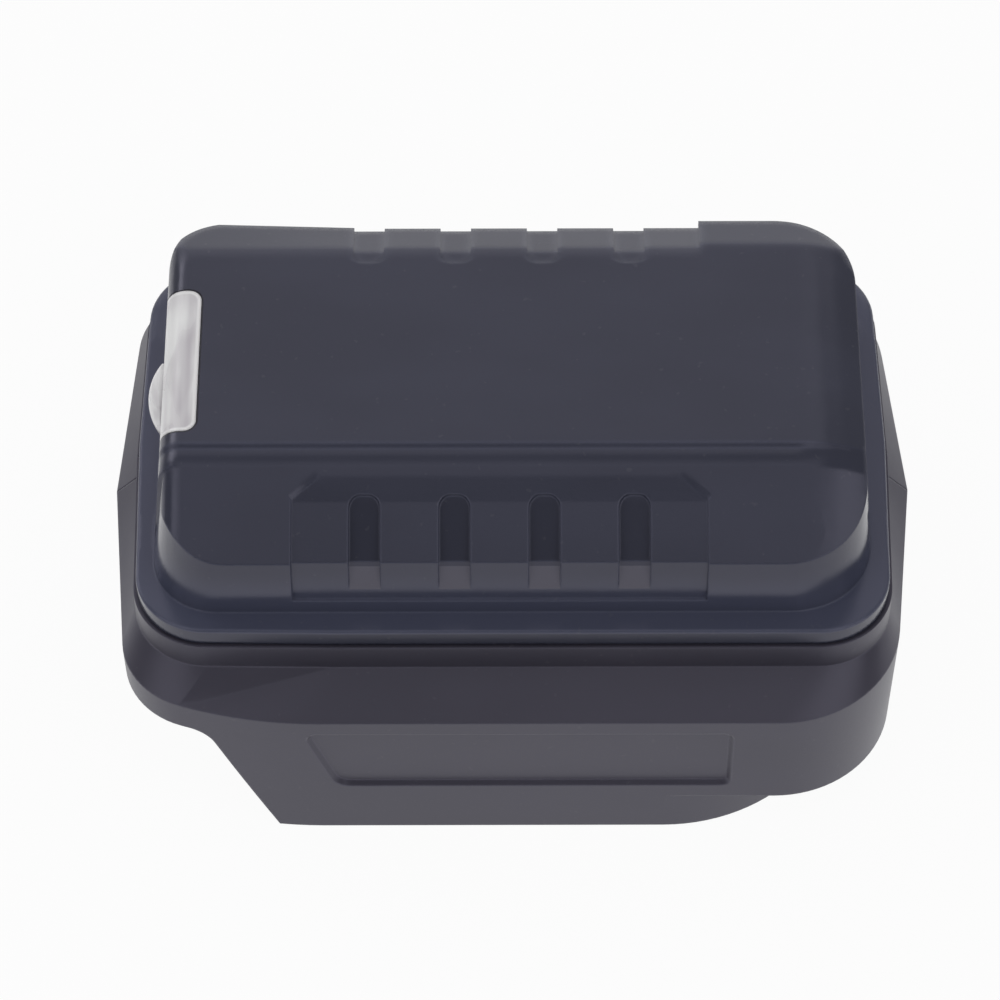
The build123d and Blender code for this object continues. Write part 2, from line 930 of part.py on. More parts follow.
def housing_walls():
    """Drafted walls, shoulder, neck and deck of both halves together."""
    nose_width = side_half_width - (crease_height - nose_step_height) * slope(skirt_draft)
    channel_width = side_half_width - crease_height * slope(skirt_draft) - housing_wall
    hollow_bottom = nose_step_height + housing_wall
    hollow_inset = housing_wall + (crease_height - hollow_bottom) * slope(skirt_draft)
    cut_gradient = (skirt_cut_bottom_x - skirt_cut_top_x) / deck_underside
    with BuildPart() as upper:
        extrude(crease_plan(crease_height), amount=-(crease_height - nose_step_height), taper=skirt_draft)
    with BuildPart() as lower:
        extrude(
            nose_plan(nose_step_height, nose_width, lower_nose_x, lower_nose_radius),
            amount=-nose_step_height,
            taper=skirt_draft,
        )
        extrude(
            crease_plan(crease_height),
            amount=-crease_height,
            taper=skirt_draft,
            mode=Mode.INTERSECT,
        )
    with BuildPart() as nose_hollow:
        extrude(crease_plan(hollow_bottom, hollow_inset), amount=deck_top - hollow_bottom)
        extrude(nose_plan(0, nose_width, lower_nose_x, lower_nose_radius), amount=far, mode=Mode.SUBTRACT)
    with BuildPart() as walls:
        add(upper.part)
        add(lower.part)
        loft([crease_plan(crease_height).face(), neck_plan(shoulder_top).face()])
        extrude(neck_plan(shoulder_top), amount=neck_top - shoulder_top)
        # Room above the deck
        loft(
            [
                crease_plan(deck_top, housing_wall).face(),
                neck_plan(shoulder_top, housing_wall).face(),
            ],
            mode=Mode.SUBTRACT,
        )
        extrude(neck_plan(shoulder_top, housing_wall), amount=far, mode=Mode.SUBTRACT)
        add(nose_hollow.part, mode=Mode.SUBTRACT)
        # Battery channel, open downwards and towards the lamp end
        extrude(
            nose_plan(
                deck_underside,
                channel_width,
                lower_nose_x - housing_wall,
                lower_nose_radius - housing_wall,
            ),
            amount=-far,
            mode=Mode.SUBTRACT,
        )
        # Slanted front edge of the skirts, below the rim
        with BuildSketch(Plane.XZ):
            with BuildLine():
                FilletPolyline(
                    (skirt_cut_bottom_x + cut_gradient * deck_thickness, -deck_thickness),
                    (skirt_cut_top_x, deck_underside),
                    (-far, deck_underside),
                    (-far, -deck_thickness),
                    radius=[0, skirt_cut_radius, 0, 0],
                    close=True,
                )
            make_face()
        extrude(amount=far, both=True, mode=Mode.SUBTRACT)
        # Rails that the battery slides on
        with BuildSketch(Plane.XY.offset(rail_bottom)):
            rail_length = rail_end_x - rail_start_x
            for side in (-1, 1):
                with Locations((rail_start_x + rail_length / 2, side * (channel_width - rail_depth / 2))):
                    Rectangle(rail_length, rail_depth + seam_gap)
        extrude(amount=rail_height)
    return walls.part


def panel(side):
    """Tool for the sunk panel on one long side, following the draft of the wall."""
    middle = (panel_top + panel_bottom) / 2
    wall = side_half_width - (crease_height - middle) * slope(skirt_draft)
    draft = math.radians(skirt_draft)
    face = Plane(
        origin=(0, side * wall, middle),
        x_dir=(1, 0, 0),
        z_dir=(0, side * math.cos(draft), -math.sin(draft)),
    )
    reach = (panel_top - middle) / math.cos(draft)
    up = 1 if face.y_dir.Z > 0 else -1
    with BuildPart() as tool:
        with BuildSketch(face):
            with BuildLine():
                FilletPolyline(
                    (panel_left_top_x, up * reach),
                    (panel_left_bottom_x, -up * reach),
                    (panel_right_x, -up * reach),
                    (panel_right_x, up * reach),
                    radius=[panel_corner, panel_lower_corner, panel_corner, panel_corner],
                    close=True,
                )
            make_face()
        extrude(amount=-panel_depth, taper=panel_bevel)
    return tool.part


def deck_fittings():
    """Posts, bosses, latch pocket and block clamps that stand on the deck."""
    pocket_top = deck_underside + latch_pocket_depth
    clamp_y = block_width / 2 + block_lip + block_clearance
    clamp_bottom = deck_top + block_lip_height + clamp_gap
    with BuildPart() as fittings:
        with BuildSketch(Plane.XY.offset(deck_underside)):
            with Locations(*cover_posts):
                Circle(post_radius)
        extrude(amount=post_joint - post_joint_gap - deck_underside)
        with BuildSketch(Plane.XY.offset(deck_underside)):
            with Locations((latch_pocket_x, 0)):
                Rectangle(
                    latch_pocket_length + 2 * latch_pocket_wall,
                    latch_pocket_width + 2 * latch_pocket_wall,
                )
        extrude(amount=latch_pocket_depth + latch_pocket_wall)
        # Clamps over the lip of the terminal block
        for side in (-1, 1):
            with BuildSketch(Plane.XY.offset(deck_underside)):
                with Locations((block_x, side * (clamp_y + clamp_thickness / 2))):
                    Rectangle(clamp_length, clamp_thickness)
            extrude(amount=clamp_bottom + clamp_hook - deck_underside)
            with BuildSketch(Plane.XY.offset(clamp_bottom)):
                with Locations((block_x, side * (clamp_y + (clamp_thickness - clamp_reach) / 2))):
                    Rectangle(clamp_length, clamp_thickness + clamp_reach)
            extrude(amount=clamp_hook)
        # Bosses of the side screws, short in the front half, and to the wall in the rear one
        with BuildSketch(side_plane(0, -side_boss_depth, side_screw_height)):
            with Locations(*[(x, 0) for x, _, _ in side_screw_places]):
                Circle(post_radius)
        extrude(amount=-side_boss_depth - side_half_width)
        add(shell_envelope, mode=Mode.INTERSECT)
    return fittings.part


def housing_cuts():
    """Screw wells, bores, latch pocket and block opening of both halves."""
    with BuildPart() as cuts:
        with BuildSketch():
            with Locations(*cover_posts):
                Circle(screw_well_radius)
        extrude(amount=cover_screw_seat)
        with BuildSketch(Plane.XY.offset(cover_screw_seat)):
            with Locations(*cover_posts):
                Circle(screw_radius + bore_clearance)
        extrude(amount=post_joint - cover_screw_seat)
        with BuildSketch(Plane.XY.offset(deck_underside)):
            with Locations((latch_pocket_x, 0)):
                Rectangle(latch_pocket_length, latch_pocket_width)
        extrude(amount=latch_pocket_depth)
        with BuildSketch(Plane.XY.offset(deck_underside)):
            with Locations((block_x, 0)):
                Rectangle(block_length + 2 * block_clearance, block_width + 2 * block_clearance)
        extrude(amount=deck_thickness)
        # Side screws, from the rear
        with BuildSketch(side_plane(0, side_screw_seat, side_screw_height)):
            with Locations(*[(x, 0) for x, _, _ in side_screw_places]):
                Circle(screw_well_radius)
        extrude(amount=-side_half_width)
        with BuildSketch(side_plane(0, side_screw_seat, side_screw_height)):
            with Locations(*[(x, 0) for x, _, _ in side_screw_places]):
                Circle(screw_radius + bore_clearance)
        extrude(amount=side_screw_seat)
        with BuildSketch(side_plane(0, 0, side_screw_height)):
            with Locations(*[(x, 0) for x, _, _ in side_screw_places]):
                Circle(screw_radius + thread_clearance)
        extrude(amount=side_screw_length - side_screw_seat + bore_clearance)
    return cuts.part


with BuildPart() as envelope:
    extrude(crease_plan(deck_underside, housing_wall / 2), amount=crease_height - deck_underside)
    loft(
        [
            crease_plan(crease_height, housing_wall / 2).face(),
            neck_plan(shoulder_top, housing_wall / 2).face(),
        ]
    )
    extrude(neck_plan(shoulder_top, housing_wall / 2), amount=neck_top - shoulder_top)
shell_envelope = envelope.part

with BuildPart() as whole_housing:
    add(housing_walls())
    add(deck_fittings())
    add(panel(-1), mode=Mode.SUBTRACT)
    add(panel(1), mode=Mode.SUBTRACT)
    add(housing_cuts(), mode=Mode.SUBTRACT)

with BuildPart() as housing_front:
    add(whole_housing.part)
    split(bisect_by=Plane.XZ.offset(seam_gap / 2), keep=Keep.TOP)
housing_front.part.label = "housing_front"
export_step(housing_front.part, "parts/housing_front.step")

with BuildPart() as housing_rear:
    add(whole_housing.part)
    split(bisect_by=Plane.XZ.offset(-seam_gap / 2), keep=Keep.BOTTOM)
housing_rear.part.label = "housing_rear"
export_step(housing_rear.part, "parts/housing_rear.step")


# Lamp

with BuildPart() as lamp_reflector:
    with BuildSketch(end_plane(reflector_x, lens_centre_y, dome_height)):
        Rectangle(reflector_width, reflector_height)
    extrude(amount=reflector_length)
    with BuildSketch(end_plane(reflector_x, lens_centre_y, dome_height)) as reflector_mouth:
        Rectangle(reflector_width - 2 * reflector_wall, reflector_height - 2 * reflector_wall)
    reflector_end_x = reflector_x + reflector_length
    with BuildSketch(end_plane(reflector_end_x, lens_centre_y, dome_height)) as reflector_throat:
        Rectangle(reflector_throat_length, reflector_throat_height)
    loft(mode=Mode.SUBTRACT)
lamp_reflector.part.label = "lamp_reflector"
export_step(lamp_reflector.part, "parts/lamp_reflector.step")

with BuildPart() as lamp_board:
    with BuildSketch(end_plane(lamp_board_x, lens_centre_y, dome_height)):
        Rectangle(lamp_board_width, lamp_board_height)
    extrude(amount=lamp_board_thickness)
lamp_board.part.label = "lamp_board"
export_step(lamp_board.part, "parts/lamp_board.step")

with BuildPart() as lamp_leds:
    with BuildSketch(end_plane(lamp_board_x, lens_centre_y, dome_height)):
        with GridLocations(led_pitch, 1, led_count, 1):
            Rectangle(led_size, led_size)
    extrude(amount=-led_thickness)
lamp_leds.part.label = "lamp_leds"
export_step(lamp_leds.part, "parts/lamp_leds.step")


def lead(points, radius, bend):
    """Round lead along straight runs joined by bends."""
    with BuildPart() as tube:
        with BuildLine() as path:
            FilletPolyline(*points, radius=bend)
        with BuildSketch(Plane(origin=path.line @ 0, z_dir=path.line % 0)):
            Circle(radius)
        sweep()
    return tube.part


with BuildPart() as lamp_leads:
    for offset_y in (-lamp_lead_pitch / 2, lamp_lead_pitch / 2):
        add(
            lead(
                [
                    (lamp_board_x + lamp_board_thickness, lens_centre_y + offset_y, lamp_lead_height),
                    (lamp_lead_end_x, lens_centre_y + offset_y, lamp_lead_height),
                    (lamp_lead_end_x, lens_centre_y + offset_y, board_top),
                ],
                lamp_lead_radius,
                lamp_lead_bend,
            )
        )
lamp_leads.part.label = "lamp_leads"
export_step(lamp_leads.part, "parts/lamp_leads.step")


# Main board and what stands on it

with BuildPart() as main_board:
    with BuildSketch(Plane.XY.offset(board_bottom)):
        with Locations(((board_left_x + board_right_x) / 2, 0)):
            RectangleRounded(board_right_x - board_left_x, 2 * board_half_width, board_corner)
        with Locations(*board_posts):
            Circle(screw_radius + bore_clearance, mode=Mode.SUBTRACT)
    extrude(amount=board_thickness)
main_board.part.label = "main_board"
export_step(main_board.part, "parts/main_board.step")

with BuildPart() as coil:
    with BuildSketch(Plane.XZ.offset(-coil_y)):
        with BuildLine():
            Polyline(
                (coil_x + coil_bore_radius, board_top),
                (coil_x + coil_radius, board_top),
                (coil_x + coil_radius, board_top + coil_rim),
                (coil_x + coil_radius - coil_waist, board_top + coil_rim),
                (coil_x + coil_radius - coil_waist, board_top + coil_height - coil_rim),
                (coil_x + coil_radius, board_top + coil_height - coil_rim),
                (coil_x + coil_radius, board_top + coil_height),
                (coil_x + coil_bore_radius, board_top + coil_height),
                close=True,
            )
        make_face()
    revolve(axis=Axis((coil_x, coil_y, 0), (0, 0, 1)))
coil.part.label = "coil"
export_step(coil.part, "parts/coil.step")

with BuildPart() as capacitor:
    with BuildSketch(Plane.XZ):
        with BuildLine():
            Polyline(
                (0, 0),
                (capacitor_radius, 0),
                (capacitor_radius, capacitor_groove_height - capacitor_groove),
                (capacitor_radius - capacitor_groove, capacitor_groove_height),
                (capacitor_radius, capacitor_groove_height + capacitor_groove),
                (capacitor_radius, capacitor_height - capacitor_groove),
                (capacitor_radius - capacitor_groove, capacitor_height),
                (0, capacitor_height),
                close=True,
            )
        make_face()
    revolve(axis=Axis.Z)

with BuildPart() as capacitors:
    with Locations(
        (capacitor_x, -capacitor_pitch / 2, board_top),
        (capacitor_x, capacitor_pitch / 2, board_top),
    ):
        add(capacitor.part)
capacitors.part.label = "capacitors"
export_step(capacitors.part, "parts/capacitors.step")

with BuildPart() as controller_chips:
    with BuildSketch(Plane.XY.offset(board_top)):
        with Locations((chip_x, 0)):
            with GridLocations(1, chip_pitch, 1, chip_count):
                Rectangle(chip_size, chip_size)
    extrude(amount=chip_height)
controller_chips.part.label = "controller_chips"
export_step(controller_chips.part, "parts/controller_chips.step")


# USB sockets


def usb_shell(y):
    """Sheet metal shell of one socket, open towards the end, with spring windows."""
    back_x = usb_front_x - usb_shell_length
    with BuildPart() as shell:
        with BuildSketch(end_plane(back_x, y, usb_centre_z)):
            RectangleRounded(usb_shell_width, usb_shell_height, usb_shell_corner)
        extrude(amount=usb_shell_length)
        with BuildSketch(end_plane(back_x + usb_shell_wall, y, usb_centre_z)):
            RectangleRounded(
                usb_shell_width - 2 * usb_shell_wall,
                usb_shell_height - 2 * usb_shell_wall,
                usb_shell_corner - usb_shell_wall,
            )
        extrude(amount=usb_shell_length, mode=Mode.SUBTRACT)
        with BuildSketch(Plane.XY.offset(usb_centre_z)):
            with Locations((usb_front_x - usb_spring_window_setback, y)):
                with GridLocations(1, usb_spring_window_pitch, 1, 2):
                    Rectangle(usb_spring_window_length, usb_spring_window_width)
        extrude(amount=usb_shell_height, mode=Mode.SUBTRACT)
    return shell.part


with BuildPart() as usb_shell_front:
    add(usb_shell(usb_rows[0]))
usb_shell_front.part.label = "usb_shell_front"
export_step(usb_shell_front.part, "parts/usb_shell_front.step")

with BuildPart() as usb_shell_rear:
    add(usb_shell(usb_rows[1]))
usb_shell_rear.part.label = "usb_shell_rear"
export_step(usb_shell_rear.part, "parts/usb_shell_rear.step")

tongue_back_x = usb_front_x - usb_shell_length + usb_shell_wall + tongue_clearance
tongue_z = usb_centre_z + tongue_lift
contact_z = tongue_z - tongue_thickness / 2
with BuildPart() as usb_tongues:
    with BuildSketch(end_plane(tongue_back_x, 0, usb_centre_z)):
        with Locations(*[(y, 0) for y in usb_rows]):
            Rectangle(
                usb_shell_width - 2 * usb_shell_wall - 2 * tongue_clearance,
                usb_shell_height - 2 * usb_shell_wall - 2 * tongue_clearance,
            )
    extrude(amount=tongue_base_length)
    with BuildSketch(end_plane(tongue_back_x + tongue_base_length, 0, tongue_z)):
        with Locations(*[(y, 0) for y in usb_rows]):
            Rectangle(tongue_width, tongue_thickness)
    extrude(amount=tongue_length)
usb_tongues.part.label = "usb_tongues"
export_step(usb_tongues.part, "parts/usb_tongues.step")

with BuildPart() as usb_contacts:
    with BuildSketch(end_plane(tongue_back_x + tongue_base_length, 0, contact_z - contact_thickness / 2)):
        for y in usb_rows:
            with Locations((y, 0)):
                with GridLocations(contact_pitch, 1, contact_count, 1):
                    Rectangle(contact_width, contact_thickness)
    extrude(amount=contact_length)
usb_contacts.part.label = "usb_contacts"
export_step(usb_contacts.part, "parts/usb_contacts.step")


# Power button, its switch and the charge light

button_front_x = wall_x(button_height + button_radius, button_setback)
button_flange_x = button_seat_x - button_seat_gap
button_stem_x = switch_front_x + plunger_proud
with BuildPart() as power_button:
    with BuildSketch(end_plane(button_front_x, 0, button_height)):
        Circle(button_radius)
    extrude(amount=button_flange_x - button_front_x)
    fillet(power_button.faces().sort_by(Axis.X)[-1].edges(), radius=button_edge)
    with BuildSketch(end_plane(button_flange_x, 0, button_height)):
        Circle(button_radius + button_flange)
    extrude(amount=-button_flange_thickness)
    with BuildSketch(end_plane(button_flange_x, 0, button_height)):
        Circle(button_stem_radius)
    extrude(amount=button_stem_x - button_flange_x)
power_button.part.label = "power_button"
export_step(power_button.part, "parts/power_button.step")

with BuildPart() as switch_body:
    with BuildSketch(end_plane(switch_front_x, 0, board_top + switch_height / 2)):
        Rectangle(switch_width, switch_height)
    extrude(amount=-switch_depth)
    with BuildSketch(end_plane(switch_front_x, 0, button_height)):
        Circle(plunger_radius + plunger_clearance)
    extrude(amount=-plunger_bore_depth, mode=Mode.SUBTRACT)
switch_body.part.label = "switch_body"
export_step(switch_body.part, "parts/switch_body.step")

with BuildPart() as switch_plunger:
    with BuildSketch(end_plane(switch_front_x - plunger_hidden, 0, button_height)):
        Circle(plunger_radius)
    extrude(amount=plunger_hidden + plunger_proud)
switch_plunger.part.label = "switch_plunger"
export_step(switch_plunger.part, "parts/switch_plunger.step")

light_front_x = wall_x(light_height, light_setback)
light_foot = board_top + status_led_thickness + status_led_gap
with BuildPart() as charge_light:
    add(
        lead(
            [
                (light_front_x, 0, light_height),
                (light_bend_x, 0, light_height),
                (light_bend_x, 0, light_foot),
            ],
            light_radius,
            light_bend_radius,
        )
    )
charge_light.part.label = "charge_light"
export_step(charge_light.part, "parts/charge_light.step")

with BuildPart() as charge_led:
    with BuildSketch(Plane.XY.offset(board_top)):
        with Locations((light_bend_x, 0)):
            Rectangle(status_led_size, status_led_size)
    extrude(amount=status_led_thickness)
charge_led.part.label = "charge_led"
export_step(charge_led.part, "parts/charge_led.step")


# Battery terminal block and its leads

blade_rows = [-blade_pitch / 2, blade_pitch / 2]
with BuildPart() as terminal_block:
    with BuildSketch(Plane.XY.offset(block_bottom)):
        with Locations((block_x, 0)):
            Rectangle(block_length, block_width)
    extrude(amount=block_top - block_bottom)
    with BuildSketch(Plane.XY.offset(deck_top)):
        with Locations((block_x, 0)):
            Rectangle(block_length + 2 * block_lip, block_width + 2 * block_lip)
    extrude(amount=block_lip_height)
    with BuildSketch(Plane.XY.offset(block_bottom)):
        with Locations(*[(block_x, y) for y in blade_rows]):
            Rectangle(blade_length, blade_thickness)
    extrude(amount=block_top - block_bottom, mode=Mode.SUBTRACT)
terminal_block.part.label = "terminal_block"
export_step(terminal_block.part, "parts/terminal_block.step")

with BuildPart() as contact_blades:
    with BuildSketch(Plane.XY.offset(block_bottom - blade_drop)):
        with Locations(*[(block_x, y) for y in blade_rows]):
            Rectangle(blade_length, blade_thickness)
    extrude(amount=blade_drop + block_top - block_bottom)
    tag_length = blade_length / 2
    with BuildSketch(Plane.XY.offset(block_top)):
        with Locations(*[(block_x - blade_length / 2 + tag_length / 2, y) for y in blade_rows]):
            Rectangle(tag_length, blade_thickness)
    extrude(amount=tag_height)
contact_blades.part.label = "contact_blades"
export_step(contact_blades.part, "parts/contact_blades.step")


def power_lead(y):
    """Lead from the edge of a contact tag to the underside of the main board."""
    return lead(
        [
            (block_x - blade_length / 2, y, block_top + lead_tag_height),
            (lead_board_x, y, block_top + lead_tag_height),
            (lead_board_x, y, board_bottom),
        ],
        lead_radius,
        lead_bend,
    )


with BuildPart() as lead_red:
    add(power_lead(blade_rows[0]))
lead_red.part.label = "lead_red"
export_step(lead_red.part, "parts/lead_red.step")

with BuildPart() as lead_black:
    add(power_lead(blade_rows[1]))
lead_black.part.label = "lead_black"
export_step(lead_black.part, "parts/lead_black.step")


# Fasteners

side_screw = screw(screw_radius, side_screw_length, screw_head_radius, screw_head_height)
with BuildPart() as side_screws:
    with Locations(*[side_plane(x, y, z).location for x, y, z in side_screw_places]):
        add(side_screw)
side_screws.part.label = "side_screws"
export_step(side_screws.part, "parts/side_screws.step")

cover_screw = screw(screw_radius, cover_screw_length, screw_head_radius, screw_head_height)
with BuildPart() as cover_screws:
    with Locations(*[(x, y, cover_screw_seat) for x, y in cover_posts]):
        add(cover_screw)
cover_screws.part.label = "cover_screws"
export_step(cover_screws.part, "parts/cover_screws.step")

board_screw = screw(screw_radius, board_screw_length, board_screw_head_radius, board_screw_head_height)
with BuildPart() as board_screws:
    with Locations(*[(x, y, board_bottom) for x, y in board_posts]):
        add(board_screw)
board_screws.part.label = "board_screws"
export_step(board_screws.part, "parts/board_screws.step")

print("power lead bend radius", lead_bend)
print("lamp lead bend radius", lamp_lead_bend)
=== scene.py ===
import math

import bmesh
import bpy
from bpy.props import FloatProperty, FloatVectorProperty, PointerProperty
from mathutils import Matrix, Vector


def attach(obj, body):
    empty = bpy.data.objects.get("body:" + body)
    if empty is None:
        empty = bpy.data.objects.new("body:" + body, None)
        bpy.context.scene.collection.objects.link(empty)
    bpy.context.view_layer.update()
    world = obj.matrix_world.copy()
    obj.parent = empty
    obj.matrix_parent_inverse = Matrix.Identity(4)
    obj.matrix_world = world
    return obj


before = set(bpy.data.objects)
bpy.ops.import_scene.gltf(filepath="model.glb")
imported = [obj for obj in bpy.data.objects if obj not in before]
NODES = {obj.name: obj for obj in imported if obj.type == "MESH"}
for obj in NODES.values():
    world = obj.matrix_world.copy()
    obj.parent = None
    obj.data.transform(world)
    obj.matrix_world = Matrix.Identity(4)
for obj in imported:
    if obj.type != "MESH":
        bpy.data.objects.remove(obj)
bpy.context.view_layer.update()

bl_info = {
    "name": "USB Battery Adapter",
    "version": (1, 0, 0),
    "blender": (4, 5, 0),
    "location": "View3D > Sidebar > Adapter",
    "description": "Finishes for the parts of a USB adapter for tool batteries, and its studio",
    "category": "Object",
}

# Lengths below are in metres, and pairs are where a mask starts and where it is full

# Roof of the cover: its crease at the back and both sides of the ledge at the front
BACK_CREASE_Y = (0.0185, 0.0210)
LEDGE_FRONT_Y = (-0.0200, -0.0190)
LEDGE_BACK_Y = (-0.0136, -0.0128)
LEDGE_SHARE = 0.35

# Lower wall of the cover above the edge of its flange, where painted light makes it paler
FLANGE_TOP_Z = (0.0386, 0.0391)
FOOT_END_Z = (0.0400, 0.0480)

# Notches along the front of the cover: their floors reach down to a break, and their feet from
# there to where the wall goes on
NOTCH_CENTRE_X = -0.0019
NOTCH_PITCH = 0.0128
NOTCH_WIDTH = 0.0045
NOTCH_BREAK_Z = 0.0476
NOTCH_FOOT_Z = 0.0436
NOTCH_BACK_Y = (-0.0222, -0.0206)
NOTCH_ROW_END = (NOTCH_PITCH * 1.7, NOTCH_PITCH * 1.71)
NOTCH_EDGE = 0.0001

# Cover opening that the lens fills, a painted shadow round it and a painted highlight on the rim inside
# it
LENS_INNER_X = -0.0452
LENS_CENTRE_Y = 0.0013
LENS_WIDTH = 0.0262
LENS_CORNER = 0.0020
LENS_BOTTOM_Z = (0.0414, 0.0416)
LENS_GAP_SHADOW = (0.00018, 0.00030)
LENS_RIM_HIGHLIGHT = (-0.00085, -0.00045)
# Back of the lens, where shade is painted, and its domed end, where light is painted
LENS_BACK_SHADE_Y = (0.0085, 0.0145)
LENS_DOME_LIGHT_X = (-0.0535, -0.0520)

# Middle of the coil, and where its rims start above and below that
COIL_MIDDLE_Z = 0.0456
COIL_RIM = (0.0019, 0.0021)

# Room on each side of the tongue in the seam, and how far a point may lie off the seam's face
SEAM_CLEARANCE = 0.000002
SEAM_FLATNESS = 0.000001

# Wear of the large mouldings: flow marks, dust, and worn edges that also hold a painted highlight
FLOW_SIZE = 0.018
FLOW_STRETCH = (0.5, 1.0, 1.2)
DUST_SIZE = 0.0011
DUST_AMOUNT = (0.71, 0.78)
DUST_COLOUR = (0.16, 0.16, 0.17)
WORN_EDGE_SHEEN = (0.004, 0.08)

# Tint of the reflections of the large mouldings, and the white of the studio
GLOSS_TINT = (0.82, 0.80, 1.0, 1.0)
WHITE = (1.0, 1.0, 1.0, 1.0)

# White sweep under and behind the object
SWEEP_WIDTH = 2.0
SWEEP_FRONT = -1.6
SWEEP_BACK = 1.4
SWEEP_HEIGHT = 1.45
SWEEP_BEND = 0.35
SWEEP_STEPS = 8

# Soft lights: name, place, width, depth and share of the key power
SOFTBOXES = (
    ("overhead", (0.0, 0.0, 1.4), 1.0, 0.6, 0.13),
    ("rear", (-0.1, 0.86, 1.13), 1.3, 0.5, 0.125),
    ("rear_left", (-0.85, 0.7, 0.9), 0.6, 0.6, 0.35),
    ("front_high", (0.0, -0.43, 1.33), 1.2, 0.25, 0.07),
    ("front_left", (-0.85, -0.65, 1.0), 1.0, 1.0, 0.50),
    ("front_right", (0.75, -0.75, 0.95), 1.2, 1.0, 0.65),
)
SOFTBOX_TARGET = (0.0, 0.0, 0.03)

# Camera: width of its film in millimetres, the nearest and farthest that it sees, the point
# that it turns about, and its shift beside that point
FILM_WIDTH = 36.0
CAMERA_RANGE = (0.01, 20.0)
CAMERA_PIVOT = (0.0, 0.0, 0.0275)
CAMERA_SHIFT = (0.001821, 0.001343)


# Shader expressions


class Socket:
    """A shader socket that takes part in Python arithmetic."""

    def __init__(self, tree, socket):
        self.tree = tree
        self.socket = socket

    def maths(self, operation, *others, clamp=False):
        """Result of a maths node whose first input is this socket."""
        settings = {"operation": operation, "use_clamp": clamp}
        return self.tree.node("ShaderNodeMath", settings, dict(enumerate((self, *others))))

    def __add__(self, other):
        return self.maths("ADD", other)

    def __radd__(self, other):
        return self.maths("ADD", other)

    def __sub__(self, other):
        return self.maths("SUBTRACT", other)

    def __rsub__(self, other):
        return self.maths("MULTIPLY_ADD", -1.0, other)

    def __mul__(self, other):
        return self.maths("MULTIPLY", other)

    def __rmul__(self, other):
        return self.maths("MULTIPLY", other)

    def clamped(self):
        return self.maths("ADD", 0.0, clamp=True)

    def band(self, low, high):
        """0 below low, 1 above high, and a smooth step between them."""
        values = {0: self, 1: low, 2: high}
        settings = {"interpolation_type": "SMOOTHSTEP"}
        return self.tree.node("ShaderNodeMapRange", settings, values)


class Finish:
    """Node tree of a new material or world, filled by calls that return sockets."""

    def __init__(self, name, store=None):
        if store is None:
            store = bpy.data.materials
        self.owner = store.new(name)
        self.owner.use_nodes = True
        self.nodes = self.owner.node_tree.nodes
        self.links = self.owner.node_tree.links
        self.nodes.clear()

    def node(self, kind, settings=None, inputs=None, output=0):
        """New node with its settings and inputs. Returns one output, or None if it has none."""
        made = self.nodes.new(kind)
        for key, value in (settings or {}).items():
            setattr(made, key, value)
        for key, value in (inputs or {}).items():
            if isinstance(value, Socket):
                self.links.new(value.socket, made.inputs[key])
            elif value is not None:
                made.inputs[key].default_value = value
        return Socket(self, made.outputs[output]) if made.outputs else None

    def place(self, scale=None):
        """Object coordinates in metres, stretched by a scale if one is given."""
        spot = self.node("ShaderNodeTexCoord", output="Object")
        if scale is None:
            return spot
        return self.node("ShaderNodeVectorMath", {"operation": "MULTIPLY"}, {0: spot, 1: scale})

    def noise(self, size, detail=2.0, scale=None, roughness=0.5):
        """Noise whose patches are about size metres across."""
        values = {
            "Vector": self.place(scale),
            "Scale": 1.0 / size,
            "Detail": detail,
            "Roughness": roughness,
        }
        return self.node("ShaderNodeTexNoise", None, values)

    def colours(self, factor, low, high):
        """Colour that goes from low to high with a factor."""
        settings = {"data_type": "RGBA", "clamp_factor": True}
        # Inputs 6 and 7 and output 2 are the node's colours
        values = {"Factor": factor, 6: rgba(low), 7: rgba(high)}
        return self.node("ShaderNodeMix", settings, values, output=2)

    def ray(self, kind):
        """1 for rays of a kind, such as Camera, and 0 for all others."""
        return self.node("ShaderNodeLightPath", output=f"Is {kind} Ray")

    def axis(self, letter):
        """One object coordinate in metres."""
        return self.node("ShaderNodeSeparateXYZ", None, {"Vector": self.place()}, output=letter)

    def soft_edges(self, radius):
        """Surface normal rounded over the edges by a radius in metres."""
        return self.node("ShaderNodeBevel", {"samples": 4}, {"Radius": radius})

    def bump(self, height, distance, strength=1.0, normal=None):
        values = {"Height": height, "Distance": distance, "Strength": strength, "Normal": normal}
        return self.node("ShaderNodeBump", None, values)

    def edge_mask(self, normal, low, high):
        """How far a rounded normal departs from the true one, from 0 to 1."""
        true = self.node("ShaderNodeNewGeometry", output="Normal")
        settings = {"operation": "DOT_PRODUCT"}
        alike = self.node("ShaderNodeVectorMath", settings, {0: normal, 1: true}, output="Value")
        return (1.0 - alike).band(low, high)

    def surface(self, inputs):
        """Ends the tree in a Principled shader with these inputs, and returns the material."""
        return self.end_in(self.node("ShaderNodeBsdfPrincipled", None, inputs))

    def end_in(self, shader, kind="ShaderNodeOutputMaterial"):
        """Wires a shader to the output, and returns the material or the world."""
        self.node(kind, None, {"Surface": shader})
        return self.owner


def rgba(colour):
    """Colour with an alpha of 1, or the socket that is given instead of one."""
    if isinstance(colour, Socket):
        return colour
    return (*colour, 1.0)


def times(colour, factor):
    """Colour made darker or brighter by a factor, up to white."""
    return tuple(min(1.0, value * factor) for value in colour)


def dress(material, *names):
    """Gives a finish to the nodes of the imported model."""
    for name in names:
        slots = NODES[name].data.materials
        slots.clear()
        slots.append(material)


def look():
    """Colours and surface values that the panel shows."""
    return bpy.context.scene.adapter_look


def studio():
    """Camera and light values that the panel shows."""
    return bpy.context.scene.adapter_studio


# Settings that a user may change


